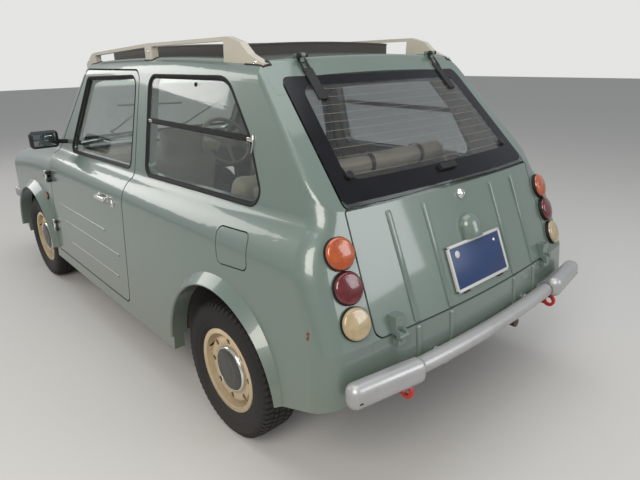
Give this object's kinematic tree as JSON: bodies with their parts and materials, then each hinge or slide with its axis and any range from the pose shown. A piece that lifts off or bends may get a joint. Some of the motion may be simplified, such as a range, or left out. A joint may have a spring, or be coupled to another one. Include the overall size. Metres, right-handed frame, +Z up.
{
  "type": "compact hatchback",
  "caption": "Compact three-door hatchback with glass hatch, drop-down tailgate, canvas roof, roof rails, outside hinges, tube bumpers and hollow cabin.",
  "frame": {"origin": "on the ground, midway between the axles and on the centre plane", "axes": "+X forwards, +Y to the car's left, +Z up"},
  "size_m": [3.7512, 1.704, 1.491],
  "materials": {
    "body_paint": "gloss",
    "chassis_paint": "satin",
    "chassis_steel": "satin",
    "rail_paint": "gloss",
    "canvas": "matte",
    "window_glass": "gloss",
    "amber_lens": "gloss",
    "red_lens": "gloss",
    "clear_lens": "gloss",
    "bumper_paint": "satin",
    "tow_red": "gloss",
    "trim_chrome": "gloss",
    "engine_metal": "matte",
    "tank_plastic": "matte",
    "exhaust_steel": "satin",
    "seat_cloth": "matte",
    "dash_plastic": "matte",
    "wheel_paint": "gloss",
    "tyre": "matte",
    "steering_rim": "satin",
    "black_trim": "satin"
  },
  "bodies": {
    "car": {"body_side_left": "body_paint", "body_side_right": "body_paint", "roof_panel": "body_paint", "canvas_roof": "canvas", "roof_rails": "rail_paint", "rear_valance": "body_paint", "fixed_glass": "window_glass", "front_wings": "body_paint", "cowl_panel": "body_paint", "nose_panel": "body_paint", "amber_lamps": "amber_lens", "red_lamps": "red_lens", "clear_lamps": "clear_lens", "bumper_rear": "bumper_paint", "bumper_front": "bumper_paint", "floor_pan": "chassis_paint", "tow_eyes": "tow_red", "engine": "engine_metal", "fuel_tank": "tank_plastic", "exhaust": "exhaust_steel", "rear_axle": "chassis_steel", "front_suspension": "chassis_steel", "front_struts": "chassis_steel", "front_seats": "seat_cloth", "rear_seat": "seat_cloth", "dashboard": "dash_plastic"},
    "door_left": {"door_left": "body_paint", "door_glass_left": "window_glass", "door_fittings_left": "trim_chrome"},
    "door_right": {"door_right": "body_paint", "door_glass_right": "window_glass", "door_fittings_right": "trim_chrome"},
    "bonnet": {"bonnet": "body_paint"},
    "hatch": {"hatch_glass": "window_glass", "hatch_fittings": "trim_chrome"},
    "tailgate": {"tailgate": "body_paint", "gate_fittings": "bumper_paint"},
    "fuel_flap": {"fuel_flap": "body_paint"},
    "steering_wheel": {"steering_wheel": "steering_rim"},
    "knuckle_left": {"knuckle_left": "chassis_steel"},
    "knuckle_right": {"knuckle_right": "chassis_steel"},
    "wheel_front_left": {"tyre_front_left": "tyre", "rim_front_left": "wheel_paint"},
    "wheel_front_right": {"tyre_front_right": "tyre", "rim_front_right": "wheel_paint"},
    "wheel_rear_left": {"tyre_rear_left": "tyre", "rim_rear_left": "wheel_paint"},
    "wheel_rear_right": {"tyre_rear_right": "tyre", "rim_rear_right": "wheel_paint"}
  },
  "joints": [
    {"name": "door_left", "type": "hinge", "parent": "car", "child": "door_left", "pos_m": [0.7605, 0.758, 0.6055], "axis": [0, 0, 1], "range_deg": [-65, 0]},
    {"name": "door_right", "type": "hinge", "parent": "car", "child": "door_right", "pos_m": [0.7605, -0.758, 0.6055], "axis": [0, 0, 1], "range_deg": [0, 65]},
    {"name": "bonnet", "type": "hinge", "parent": "car", "child": "bonnet", "pos_m": [0.878, 0, 0.937], "axis": [0, -1, 0], "range_deg": [0, 60]},
    {"name": "hatch", "type": "hinge", "parent": "car", "child": "hatch", "pos_m": [-1.226, 0, 1.423], "axis": [0, 1, 0], "range_deg": [0, 75]},
    {"name": "tailgate", "type": "hinge", "parent": "car", "child": "tailgate", "pos_m": [-1.797, 0, 0.588], "axis": [0, -1, 0], "range_deg": [0, 110]},
    {"name": "fuel_flap", "type": "hinge", "parent": "car", "child": "fuel_flap", "pos_m": [-1.161, 0.7483, 0.735], "axis": [0.1598, -0.2002, 0.9666], "range_deg": [-100, 0]},
    {"name": "steering", "type": "hinge", "parent": "car", "child": "steering_wheel", "pos_m": [0.44, -0.33, 0.88], "axis": [-0.8222, 0, 0.5692], "range_deg": [-545, 545]},
    {"name": "steer_left", "type": "hinge", "parent": "car", "child": "knuckle_left", "pos_m": [1.15, 0.612, 0.276], "axis": [0, 0, 1], "range_deg": [-34, 34]},
    {"name": "steer_right", "type": "hinge", "parent": "car", "child": "knuckle_right", "pos_m": [1.15, -0.612, 0.276], "axis": [0, 0, 1], "range_deg": [-34.5, 34.5]},
    {"name": "roll_front_left", "type": "hinge", "parent": "knuckle_left", "child": "wheel_front_left", "pos_m": [1.15, 0.6695, 0.276], "axis": [0, 1, 0], "continuous": true},
    {"name": "roll_front_right", "type": "hinge", "parent": "knuckle_right", "child": "wheel_front_right", "pos_m": [1.15, -0.6695, 0.276], "axis": [0, 1, 0], "continuous": true},
    {"name": "roll_rear_left", "type": "hinge", "parent": "car", "child": "wheel_rear_left", "pos_m": [-1.15, 0.6695, 0.276], "axis": [0, 1, 0], "continuous": true},
    {"name": "roll_rear_right", "type": "hinge", "parent": "car", "child": "wheel_rear_right", "pos_m": [-1.15, -0.6695, 0.276], "axis": [0, 1, 0], "continuous": true}
  ],
  "couplings": [
    {"joint": "steer_right", "follows": "steer_left", "ratio": 1},
    {"joint": "steering", "follows": "steer_left", "ratio": 16}
  ]
}
